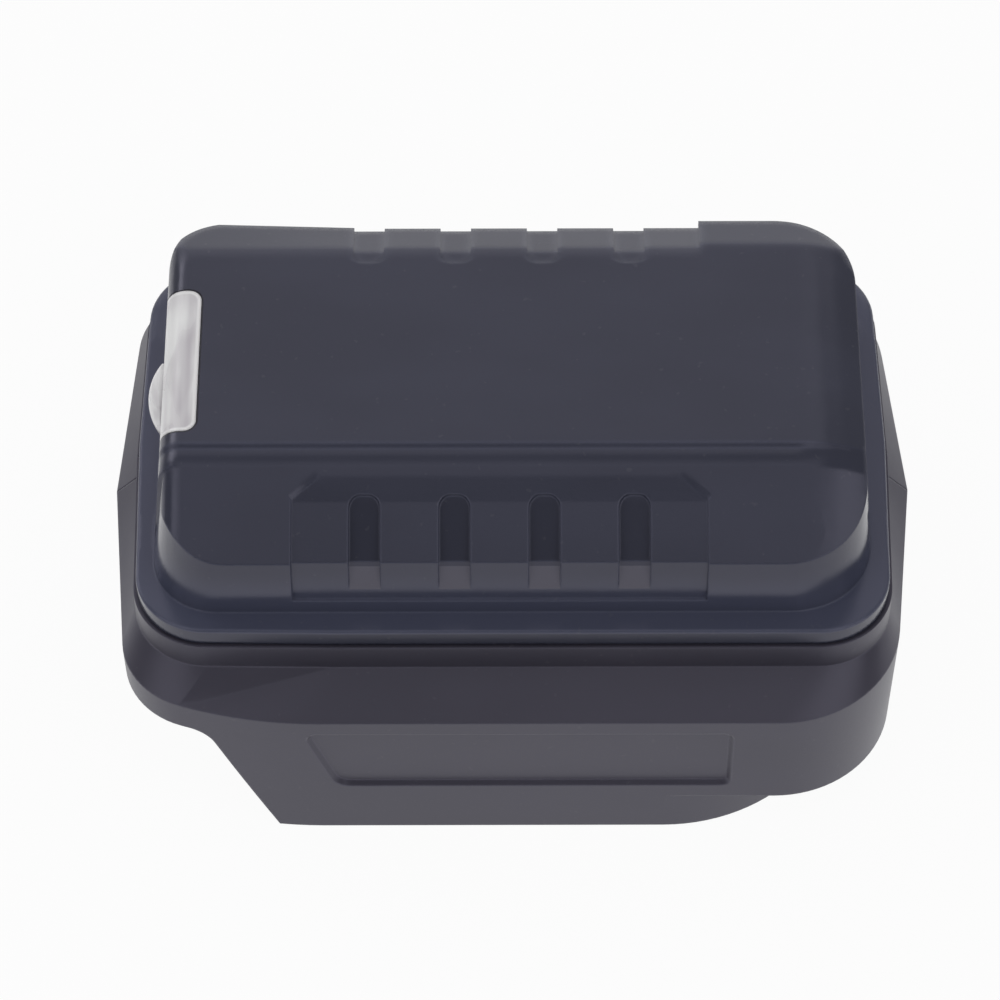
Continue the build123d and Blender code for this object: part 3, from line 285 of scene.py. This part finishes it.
class AdapterLook(bpy.types.PropertyGroup):
    """Colours and surface values of the adapter."""

    cover_colour: FloatVectorProperty(
        name="Cover Colour",
        description="Colour of the top cover",
        subtype="COLOR",
        size=3,
        min=0.0,
        max=1.0,
        default=(0.036, 0.039, 0.060),
    )
    housing_colour: FloatVectorProperty(
        name="Housing Colour",
        description="Colour of both housing halves",
        subtype="COLOR",
        size=3,
        min=0.0,
        max=1.0,
        default=(0.042, 0.039, 0.055),
    )
    lens_colour: FloatVectorProperty(
        name="Lens Colour",
        description="Colour of the frosted lamp lens",
        subtype="COLOR",
        size=3,
        min=0.0,
        max=1.0,
        default=(0.84, 0.79, 0.85),
    )
    cover_roughness: FloatProperty(
        name="Cover Roughness",
        description="Roughness of the satin cover",
        subtype="FACTOR",
        min=0.0,
        max=1.0,
        default=0.17,
    )
    housing_roughness: FloatProperty(
        name="Housing Roughness",
        description="Roughness of the matte housing",
        subtype="FACTOR",
        min=0.0,
        max=1.0,
        default=0.37,
    )
    grain_size: FloatProperty(
        name="Grain Size",
        description="Width of the moulded grain",
        unit="LENGTH",
        min=0.00005,
        max=0.002,
        default=0.00028,
    )
    edge_radius: FloatProperty(
        name="Edge Radius",
        description="Radius over which the edges of the mouldings look rounded",
        unit="LENGTH",
        min=0.0,
        max=0.002,
        default=0.00045,
    )
    seam_depth: FloatProperty(
        name="Seam Depth",
        description="Depth of the groove left open at the seam of the housing",
        unit="LENGTH",
        min=0.0001,
        max=0.001,
        default=0.0004,
    )
    back_crease_radius: FloatProperty(
        name="Back Crease Radius",
        description="Extra radius of the soft crease along the back of the cover",
        unit="LENGTH",
        min=0.0,
        max=0.003,
        default=0.0016,
    )


class AdapterStudio(bpy.types.PropertyGroup):
    """Camera and light of the studio."""

    elevation: FloatProperty(
        name="Elevation",
        description="Height of the camera above the horizon",
        subtype="ANGLE",
        default=math.radians(52.5),
    )
    roll: FloatProperty(
        name="Roll",
        description="Turn of the camera about its own axis",
        subtype="ANGLE",
        default=math.radians(-0.12),
    )
    distance: FloatProperty(
        name="Distance",
        description="Distance of the camera from the middle of the object",
        unit="LENGTH",
        default=0.690,
    )
    lens: FloatProperty(
        name="Lens",
        description="Focal length of the camera in millimetres",
        unit="CAMERA",
        default=166.43,
    )
    sky_strength: FloatProperty(
        name="Sky Strength",
        description="Brightness of the sky around the object",
        min=0.0,
        max=3.0,
        default=0.29,
    )
    key_power: FloatProperty(
        name="Key Power",
        description="Power that each soft light has its share of",
        unit="POWER",
        min=0.0,
        default=6.5,
    )


# Finishes


def opening_distance(skin):
    """Distance from the edge of the lens opening, negative inside it."""
    along = (skin.axis("Y") - LENS_CENTRE_Y).maths("ABSOLUTE") - (LENS_WIDTH / 2 - LENS_CORNER)
    along = along.maths("MAXIMUM", 0.0)
    across = (skin.axis("X") - (LENS_INNER_X - LENS_CORNER)).maths("MAXIMUM", 0.0)
    return (across * across + along * along).maths("SQRT") - LENS_CORNER


def front_notches(skin):
    """Masks of the floors and of the feet of the notches along the front of the cover."""
    along = skin.axis("X") - NOTCH_CENTRE_X
    height = skin.axis("Z")
    side = (NOTCH_PITCH - NOTCH_WIDTH) / 2
    inside = along.maths("PINGPONG", NOTCH_PITCH / 2).band(side - NOTCH_EDGE, side + NOTCH_EDGE)
    beyond = along.maths("ABSOLUTE").band(*NOTCH_ROW_END)
    front = 1.0 - skin.axis("Y").band(*NOTCH_BACK_Y)
    inside = inside * (1.0 - beyond) * front
    above = height.band(NOTCH_BREAK_Z - 2 * NOTCH_EDGE, NOTCH_BREAK_Z)
    below = height.band(NOTCH_FOOT_Z - NOTCH_EDGE, NOTCH_FOOT_Z + NOTCH_EDGE) - above
    return inside * above, inside * below


def moulded_plastic(skin, colour, roughness, radius, lift, gloss=0.58, under=(), over=()):
    """Grained moulding: soft edges, faint flow marks, dust, worn corners with a painted highlight.

    lift is how much paler the corners are, partly worn and partly a painted highlight. under and
    over are pairs of a mask and a colour, painted before and after the dust and the worn edges.
    """
    grain = look().grain_size
    rounded = skin.soft_edges(radius)
    # Edges painted paler, partly worn and partly a painted highlight
    worn_edge_sheen = skin.edge_mask(rounded, *WORN_EDGE_SHEEN)
    fine = skin.noise(grain, detail=3.0, roughness=0.6)
    flow = skin.noise(FLOW_SIZE, scale=FLOW_STRETCH)
    dust = skin.noise(DUST_SIZE, detail=1.0).band(*DUST_AMOUNT)
    pale = tuple(min(1.0, value + 0.004) for value in times(colour, lift))
    base = skin.colours(flow.band(0.35, 0.65), times(colour, 0.86), colour)
    wear_and_sheen = ((worn_edge_sheen * 0.55, pale), (dust * 0.10, DUST_COLOUR))
    for mask, paint in (*under, *wear_and_sheen, *over):
        base = skin.colours(mask, base, paint)
    rough = roughness + (fine - 0.5) * 0.10 + (flow - 0.5) * 0.08 - worn_edge_sheen * 0.06
    return skin.surface({
        "Base Color": base,
        "Roughness": rough.clamped(),
        "Normal": skin.bump(fine, grain * 0.10, strength=0.35, normal=rounded),
        "IOR": 1.5,
        "Specular IOR Level": gloss,
        "Specular Tint": GLOSS_TINT,
    })


def cover_plastic():
    """Satin moulding of the cover, with soft creases, notches, and painted light and shade."""
    settings = look()
    skin = Finish("cover_plastic")
    colour = tuple(settings.cover_colour)
    depth = skin.axis("Y")
    height = skin.axis("Z")
    ledge = depth.band(*LEDGE_FRONT_Y) - depth.band(*LEDGE_BACK_Y)
    creases = depth.band(*BACK_CREASE_Y) + ledge * LEDGE_SHARE
    radius = settings.edge_radius + creases * settings.back_crease_radius
    # Painted light: the wall just above the flange is painted paler
    foot_light = (1.0 - height.band(*FOOT_END_Z)) * height.band(*FLANGE_TOP_Z)
    notch_floor_shade, notch_foot_light = front_notches(skin)
    # Painted shade darkens the notch floors and painted light brightens the notch feet
    marks = (
        (foot_light, times(colour, 1.95)),
        (notch_floor_shade, times(colour, 0.78)),
        (notch_foot_light, (0.086, 0.083, 0.104)),
    )
    # Painted shadow: a thin dark line round the lens opening
    gap_shadow = (1.0 - opening_distance(skin).band(*LENS_GAP_SHADOW)) * height.band(*LENS_BOTTOM_Z)
    shadow = ((gap_shadow, (0.006, 0.006, 0.010)),)
    roughness = settings.cover_roughness
    return moulded_plastic(skin, colour, roughness, radius, lift=2.6, under=marks, over=shadow)


def frosted_lens():
    """Frosted lens drawn opaque, with lengthwise streaks, and painted shade, light and rim highlight."""
    colour = tuple(look().lens_colour)
    glass = Finish("frosted_lens")
    # Painted highlight along the rim of the lens
    rim = opening_distance(glass).band(*LENS_RIM_HIGHLIGHT)
    # Random frost clouds and streaks, whose bright streaks along the length also paint a reflection
    cloud = glass.noise(0.0030, scale=(1.0, 0.22, 0.6)).band(0.36, 0.64)
    streak = glass.noise(0.0016, detail=1.0, scale=(1.0, 0.06, 0.5)).band(0.35, 0.65)
    shade = (cloud * 0.55 + streak * 0.45).clamped()
    # Painted shade darkens the lens towards its back
    back = glass.axis("Y").band(*LENS_BACK_SHADE_Y)
    # Painted light whitens the domed end of the lens
    dome_light = 1.0 - glass.axis("X").band(*LENS_DOME_LIGHT_X)
    dim = times(colour, 0.72)
    base = glass.colours(shade, dim, times(colour, 1.30))
    base = glass.colours(back * 0.5, base, dim)
    base = glass.colours(dome_light * 0.7, base, (0.97, 0.96, 0.98))
    # Painted highlight on the rim
    base = glass.colours(rim, base, (1.0, 0.99, 1.0))
    rough = (0.26 + (cloud - 0.5) * 0.14 - rim * 0.12).clamped()
    frost = glass.bump(glass.noise(0.0004), 0.00003, strength=0.4, normal=glass.soft_edges(0.0007))
    return glass.surface({"Base Color": base, "Roughness": rough, "Normal": frost, "IOR": 1.49})


def clear_rod():
    """Clear light pipe with a faint haze."""
    rod = Finish("clear_rod")
    haze = rod.noise(0.002)
    return rod.surface({
        "Base Color": rod.colours(haze.band(0.3, 0.7), (0.78, 0.80, 0.82), (0.92, 0.93, 0.94)),
        "Roughness": (haze * 0.2).clamped(),
        "IOR": 1.49,
        "Transmission Weight": 0.8,
    })


def sheet_metal(name, colour, roughness, lines):
    """Plated sheet with drawing lines, which run along the axis where lines is smallest."""
    metal = Finish(name)
    drawn = metal.noise(0.0006, detail=3.0, scale=lines)
    stain = metal.noise(0.004)
    return metal.surface({
        "Base Color": metal.colours(stain.band(0.3, 0.7), times(colour, 0.82), colour),
        "Metallic": 1.0,
        "Roughness": (roughness + (drawn - 0.5) * 0.22 + (stain - 0.5) * 0.1).clamped(),
        "Normal": metal.bump(drawn, 0.00002, strength=0.3, normal=metal.soft_edges(0.00012)),
    })


def screw_steel():
    """Zinc plated steel, tarnished in patches and scratched along the shafts of the screws."""
    steel = Finish("screw_steel")
    tarnish = steel.noise(0.0012, detail=3.0)
    scratch = steel.noise(0.0003, scale=(1.0, 1.0, 0.15))
    return steel.surface({
        "Base Color": steel.colours(tarnish.band(0.3, 0.7), (0.42, 0.42, 0.43), (0.66, 0.66, 0.68)),
        "Metallic": 1.0,
        "Roughness": (0.30 + (tarnish - 0.5) * 0.18 + (scratch - 0.5) * 0.12).clamped(),
        "Normal": steel.bump(scratch, 0.00002, strength=0.4, normal=steel.soft_edges(0.0001)),
    })


def solder_mask():
    """Board lacquer over tracks that show as faint ridges."""
    board = Finish("solder_mask")
    values = {"Vector": board.place((1.0, 1.0, 0.0)), "Scale": 420.0, "Randomness": 0.35}
    cells = board.node("ShaderNodeTexVoronoi", {"distance": "CHEBYCHEV", "feature": "F1"}, values)
    track = (cells.band(0.34, 0.40) - cells.band(0.44, 0.50)).clamped()
    weave = board.noise(0.0006, detail=1.0)
    return board.surface({
        "Base Color": board.colours(track * 0.7, (0.010, 0.085, 0.035), (0.03, 0.16, 0.07)),
        "Roughness": (0.32 + (weave - 0.5) * 0.1).clamped(),
        "Normal": board.bump(track, 0.00004, strength=0.5),
        "Coat Weight": 0.3,
    })


def plain_moulding(name, colour, roughness):
    """Small moulding with a mottled skin."""
    skin = Finish(name)
    mottle = skin.noise(0.0016, detail=3.0)
    pale = tuple(min(1.0, value + 0.003) for value in times(colour, 1.25))
    return skin.surface({
        "Base Color": skin.colours(mottle.band(0.35, 0.68), colour, pale),
        "Roughness": (roughness + (mottle - 0.5) * 0.12).clamped(),
        "Normal": skin.bump(skin.noise(0.00025), 0.00002, strength=0.3, normal=skin.soft_edges(0.00015)),
    })


def wound_core():
    """Ferrite rims with copper turns between them."""
    core = Finish("wound_core")
    rim = (core.axis("Z") - COIL_MIDDLE_Z).maths("ABSOLUTE").band(*COIL_RIM)
    values = {"Vector": core.place((0.0, 0.0, 1.0)), "Scale": 700.0}
    turns = core.node("ShaderNodeTexWave", {"bands_direction": "Z"}, values)
    copper = core.colours(turns, (0.30, 0.10, 0.035), (0.62, 0.27, 0.10))
    return core.surface({
        "Base Color": core.colours(rim, copper, (0.035, 0.035, 0.038)),
        "Roughness": (0.34 + rim * 0.3).clamped(),
        "Normal": core.bump(turns, 0.00008, strength=0.6),
    })


def phosphor():
    """White LED package with patches of yellow phosphor."""
    led = Finish("lit_phosphor")
    window = led.noise(0.0024, detail=0.0).band(0.4, 0.5)
    return led.surface({
        "Base Color": led.colours(window, (0.80, 0.79, 0.74), (0.85, 0.62, 0.10)),
        "Roughness": (0.35 + (led.noise(0.0003) - 0.5) * 0.2).clamped(),
        "Coat Weight": 0.5,
    })


def backdrop_paper():
    """Paper with a faint shadow, which the camera and reflections see as almost white."""
    paper = Finish("backdrop_paper")
    mottle = paper.noise(0.05).band(0.3, 0.7)
    base = paper.colours(mottle, (0.80, 0.80, 0.81), (0.84, 0.84, 0.85))
    diffuse = paper.node("ShaderNodeBsdfDiffuse", None, {"Color": base})
    white = paper.node("ShaderNodeEmission", None, {"Color": WHITE, "Strength": 1.0})
    seen = (paper.ray("Camera") * 0.95 + paper.ray("Glossy") + paper.ray("Transmission")).clamped()
    return paper.end_in(paper.node("ShaderNodeMixShader", None, {0: seen, 1: diffuse, 2: white}))


# Operators, one for each piece or group of like pieces


class ADAPTER_OT_cover(bpy.types.Operator):
    """Finish the top cover as satin moulded plastic"""

    bl_idname = "adapter.cover"
    bl_label = "Top Cover"

    def execute(self, context):
        dress(cover_plastic(), "top_cover")
        return {"FINISHED"}


class ADAPTER_OT_housing(bpy.types.Operator):
    """Finish both housing halves as matte moulded plastic"""

    bl_idname = "adapter.housing"
    bl_label = "Housing Halves"

    def execute(self, context):
        settings = look()
        skin = moulded_plastic(
            Finish("housing_plastic"),
            tuple(settings.housing_colour),
            settings.housing_roughness,
            settings.edge_radius,
            lift=2.4,
            gloss=0.70,
        )
        dress(skin, "housing_front", "housing_rear")
        return {"FINISHED"}


def seam_tongue_mesh():
    """Mesh of the tongue: the seam face of one housing half, drawn in and made solid."""
    half = NODES["housing_front"].data
    seam_y = max(vertex.co.y for vertex in half.vertices)
    near_y = seam_y + SEAM_CLEARANCE
    tongue = bmesh.new()
    tongue.from_mesh(half)
    away = [
        face for face in tongue.faces
        if min(vert.co.y for vert in face.verts) < seam_y - SEAM_FLATNESS
    ]
    bmesh.ops.delete(tongue, geom=away, context="FACES")
    # The inset needs whole faces, so the triangles of the seam are joined first
    bmesh.ops.dissolve_limit(tongue, angle_limit=0.01, verts=tongue.verts[:], edges=tongue.edges[:])
    rim = bmesh.ops.inset_region(
        tongue,
        faces=tongue.faces[:],
        thickness=look().seam_depth,
        use_boundary=True,
        use_even_offset=True,
    )["faces"]
    bmesh.ops.delete(tongue, geom=rim, context="FACES")
    if not tongue.faces:
        raise RuntimeError("the seam of the housing has no face left for the tongue")
    bmesh.ops.translate(tongue, verts=tongue.verts[:], vec=(0.0, SEAM_CLEARANCE, 0.0))
    grown = bmesh.ops.extrude_face_region(tongue, geom=tongue.faces[:])["geom"]
    far_side = [item for item in grown if isinstance(item, bmesh.types.BMVert)]
    # The far side lies as far behind y = 0 as the near side lies in front of it
    bmesh.ops.translate(tongue, verts=far_side, vec=(0.0, -2.0 * near_y, 0.0))
    bmesh.ops.triangulate(tongue, faces=tongue.faces[:])
    bmesh.ops.recalc_face_normals(tongue, faces=tongue.faces[:])
    mesh = bpy.data.meshes.new("seam_tongue")
    tongue.to_mesh(mesh)
    tongue.free()
    return mesh


class ADAPTER_OT_seam_tongue(bpy.types.Operator):
    """Add the tongue that closes the seam between the housing halves"""

    bl_idname = "adapter.seam_tongue"
    bl_label = "Seam Tongue"

    def execute(self, context):
        mesh = seam_tongue_mesh()
        mesh.materials.append(plain_moulding("seam_moulding", (0.030, 0.029, 0.036), 0.5))
        piece = bpy.data.objects.new("seam_tongue", mesh)
        context.collection.objects.link(piece)
        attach(piece, "adapter")
        return {"FINISHED"}


class ADAPTER_OT_lamp(bpy.types.Operator):
    """Finish the lamp lens and the lamp behind it"""

    bl_idname = "adapter.lamp"
    bl_label = "Lamp"

    def execute(self, context):
        dress(frosted_lens(), "lamp_lens")
        dress(sheet_metal("reflector_coat", (0.88, 0.88, 0.90), 0.14, (1.0, 1.0, 1.0)), "lamp_reflector")
        dress(phosphor(), "lamp_leds")
        dress(plain_moulding("white_lacquer", (0.72, 0.72, 0.70), 0.4), "lamp_board")
        return {"FINISHED"}


class ADAPTER_OT_sockets(bpy.types.Operator):
    """Finish the USB shells, tongues and contacts"""

    bl_idname = "adapter.sockets"
    bl_label = "USB Sockets"

    def execute(self, context):
        shell = sheet_metal("nickel_shell", (0.62, 0.62, 0.63), 0.30, (0.1, 1.0, 1.0))
        dress(shell, "usb_shell_front", "usb_shell_rear")
        dress(plain_moulding("white_tongue", (0.78, 0.78, 0.76), 0.38), "usb_tongues")
        dress(sheet_metal("gold_contact", (0.83, 0.62, 0.28), 0.24, (0.2, 1.0, 1.0)), "usb_contacts")
        return {"FINISHED"}


class ADAPTER_OT_button(bpy.types.Operator):
    """Finish the power button, its switch and the charge light"""

    bl_idname = "adapter.button"
    bl_label = "Power Button"

    def execute(self, context):
        cap = moulded_plastic(Finish("button_plastic"), (0.035, 0.035, 0.040), 0.38, 0.0003, lift=2.2)
        dress(cap, "power_button")
        dress(plain_moulding("switch_moulding", (0.022, 0.022, 0.024), 0.45), "switch_body")
        dress(plain_moulding("plunger_moulding", (0.70, 0.69, 0.66), 0.40), "switch_plunger")
        dress(clear_rod(), "charge_light")
        dress(phosphor(), "charge_led")
        return {"FINISHED"}


class ADAPTER_OT_boards(bpy.types.Operator):
    """Finish the main board and the parts on it"""

    bl_idname = "adapter.boards"
    bl_label = "Main Board"

    def execute(self, context):
        dress(solder_mask(), "main_board")
        dress(wound_core(), "coil")
        dress(plain_moulding("sleeve", (0.020, 0.028, 0.060), 0.30), "capacitors")
        dress(plain_moulding("chip_moulding", (0.018, 0.018, 0.018), 0.55), "controller_chips")
        return {"FINISHED"}


class ADAPTER_OT_terminals(bpy.types.Operator):
    """Finish the terminal block, its blades and the leads"""

    bl_idname = "adapter.terminals"
    bl_label = "Terminals And Leads"

    def execute(self, context):
        dress(plain_moulding("block_moulding", (0.020, 0.020, 0.022), 0.50), "terminal_block")
        dress(sheet_metal("tinned_blade", (0.72, 0.70, 0.66), 0.26, (0.2, 1.0, 1.0)), "contact_blades")
        dress(plain_moulding("red_lead_skin", (0.42, 0.018, 0.014), 0.42), "lead_red")
        dress(plain_moulding("black_lead_skin", (0.016, 0.016, 0.016), 0.42), "lead_black", "lamp_leads")
        return {"FINISHED"}


class ADAPTER_OT_fasteners(bpy.types.Operator):
    """Finish the screws"""

    bl_idname = "adapter.fasteners"
    bl_label = "Screws"

    def execute(self, context):
        dress(screw_steel(), "side_screws", "cover_screws", "board_screws")
        return {"FINISHED"}


def studio_sky(strength):
    """Dim sky, brighter behind the object, that the camera sees as white."""
    sky = Finish("studio", bpy.data.worlds)
    where = sky.node("ShaderNodeTexCoord", output="Generated")
    depth = sky.node("ShaderNodeSeparateXYZ", None, {"Vector": where}, output="Y")
    glow = (1.0 + depth * 0.5) * strength
    level = glow + sky.ray("Camera") * (1.0 - glow)
    light = sky.node("ShaderNodeBackground", None, {"Color": WHITE, "Strength": level})
    return sky.end_in(light, "ShaderNodeOutputWorld")


def sweep_mesh():
    """Floor that bends up into a wall behind the object."""
    profile = [(SWEEP_FRONT, 0.0), (SWEEP_BACK - SWEEP_BEND, 0.0)]
    for step in range(1, SWEEP_STEPS + 1):
        angle = math.pi / 2 * step / SWEEP_STEPS
        y = SWEEP_BACK - SWEEP_BEND + SWEEP_BEND * math.sin(angle)
        profile.append((y, SWEEP_BEND - SWEEP_BEND * math.cos(angle)))
    profile.append((SWEEP_BACK, SWEEP_HEIGHT))
    verts = [(side * SWEEP_WIDTH / 2, y, z) for y, z in profile for side in (-1, 1)]
    faces = [(2 * i, 2 * i + 1, 2 * i + 3, 2 * i + 2) for i in range(len(profile) - 1)]
    mesh = bpy.data.meshes.new("backdrop")
    mesh.from_pydata(verts, [], faces)
    for polygon in mesh.polygons:
        polygon.use_smooth = True
    return mesh


def softbox(name, place, width, depth, power):
    """Rectangular area light that faces the object."""
    data = bpy.data.lights.new(name, "AREA")
    data.shape = "RECTANGLE"
    data.size = width
    data.size_y = depth
    data.energy = power
    lamp = bpy.data.objects.new(name, data)
    bpy.context.collection.objects.link(lamp)
    lamp.location = place
    lamp.rotation_euler = (Vector(SOFTBOX_TARGET) - Vector(place)).to_track_quat("-Z", "Y").to_euler()


def studio_camera(settings):
    """Camera that sees the object from the front and above."""
    data = bpy.data.cameras.new("camera")
    data.lens = settings.lens
    data.sensor_width = FILM_WIDTH
    data.clip_start, data.clip_end = CAMERA_RANGE
    camera = bpy.data.objects.new("camera", data)
    bpy.context.collection.objects.link(camera)
    tilt = Matrix.Rotation(math.pi / 2 - settings.elevation, 4, "X")
    turn = tilt @ Matrix.Rotation(settings.roll, 4, "Z")
    aim = Vector((*CAMERA_SHIFT, -settings.distance))
    camera.matrix_world = Matrix.Translation(Vector(CAMERA_PIVOT) - turn.to_3x3() @ aim) @ turn
    bpy.context.scene.camera = camera


class ADAPTER_OT_stage(bpy.types.Operator):
    """Build the floor, the lights and the camera"""

    bl_idname = "adapter.stage"
    bl_label = "Stage"

    def execute(self, context):
        settings = studio()
        mesh = sweep_mesh()
        mesh.materials.append(backdrop_paper())
        backdrop = bpy.data.objects.new("backdrop", mesh)
        context.collection.objects.link(backdrop)
        context.scene.world = studio_sky(settings.sky_strength)
        for name, place, width, depth, share in SOFTBOXES:
            softbox(name, place, width, depth, settings.key_power * share)
        studio_camera(settings)
        context.scene.view_settings.view_transform = "Standard"
        return {"FINISHED"}


class ADAPTER_PT_panel(bpy.types.Panel):
    """Sidebar panel that lists the pieces of the adapter"""

    bl_idname = "ADAPTER_PT_panel"
    bl_label = "USB Battery Adapter"
    bl_space_type = "VIEW_3D"
    bl_region_type = "UI"
    bl_category = "Adapter"

    def draw(self, context):
        layout = self.layout
        for group in (look(), studio()):
            for name in group.__annotations__:
                layout.prop(group, name)
        for operator in OPERATORS:
            layout.operator(operator.bl_idname)


OPERATORS = (
    ADAPTER_OT_cover,
    ADAPTER_OT_housing,
    ADAPTER_OT_seam_tongue,
    ADAPTER_OT_lamp,
    ADAPTER_OT_sockets,
    ADAPTER_OT_button,
    ADAPTER_OT_boards,
    ADAPTER_OT_terminals,
    ADAPTER_OT_fasteners,
    ADAPTER_OT_stage,
)
CLASSES = (AdapterLook, AdapterStudio, *OPERATORS, ADAPTER_PT_panel)


def register():
    """Adds the add-on's classes and its settings."""
    for cls in CLASSES:
        bpy.utils.register_class(cls)
    bpy.types.Scene.adapter_look = PointerProperty(type=AdapterLook)
    bpy.types.Scene.adapter_studio = PointerProperty(type=AdapterStudio)


def unregister():
    """Removes what register adds."""
    del bpy.types.Scene.adapter_studio
    del bpy.types.Scene.adapter_look
    for cls in reversed(CLASSES):
        bpy.utils.unregister_class(cls)


def main():
    """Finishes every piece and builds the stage."""
    register()
    bpy.ops.adapter.cover()
    bpy.ops.adapter.housing()
    bpy.ops.adapter.seam_tongue()
    bpy.ops.adapter.lamp()
    bpy.ops.adapter.sockets()
    bpy.ops.adapter.button()
    bpy.ops.adapter.boards()
    bpy.ops.adapter.terminals()
    bpy.ops.adapter.fasteners()
    bpy.ops.adapter.stage()


if __name__ == "__main__":
    main()
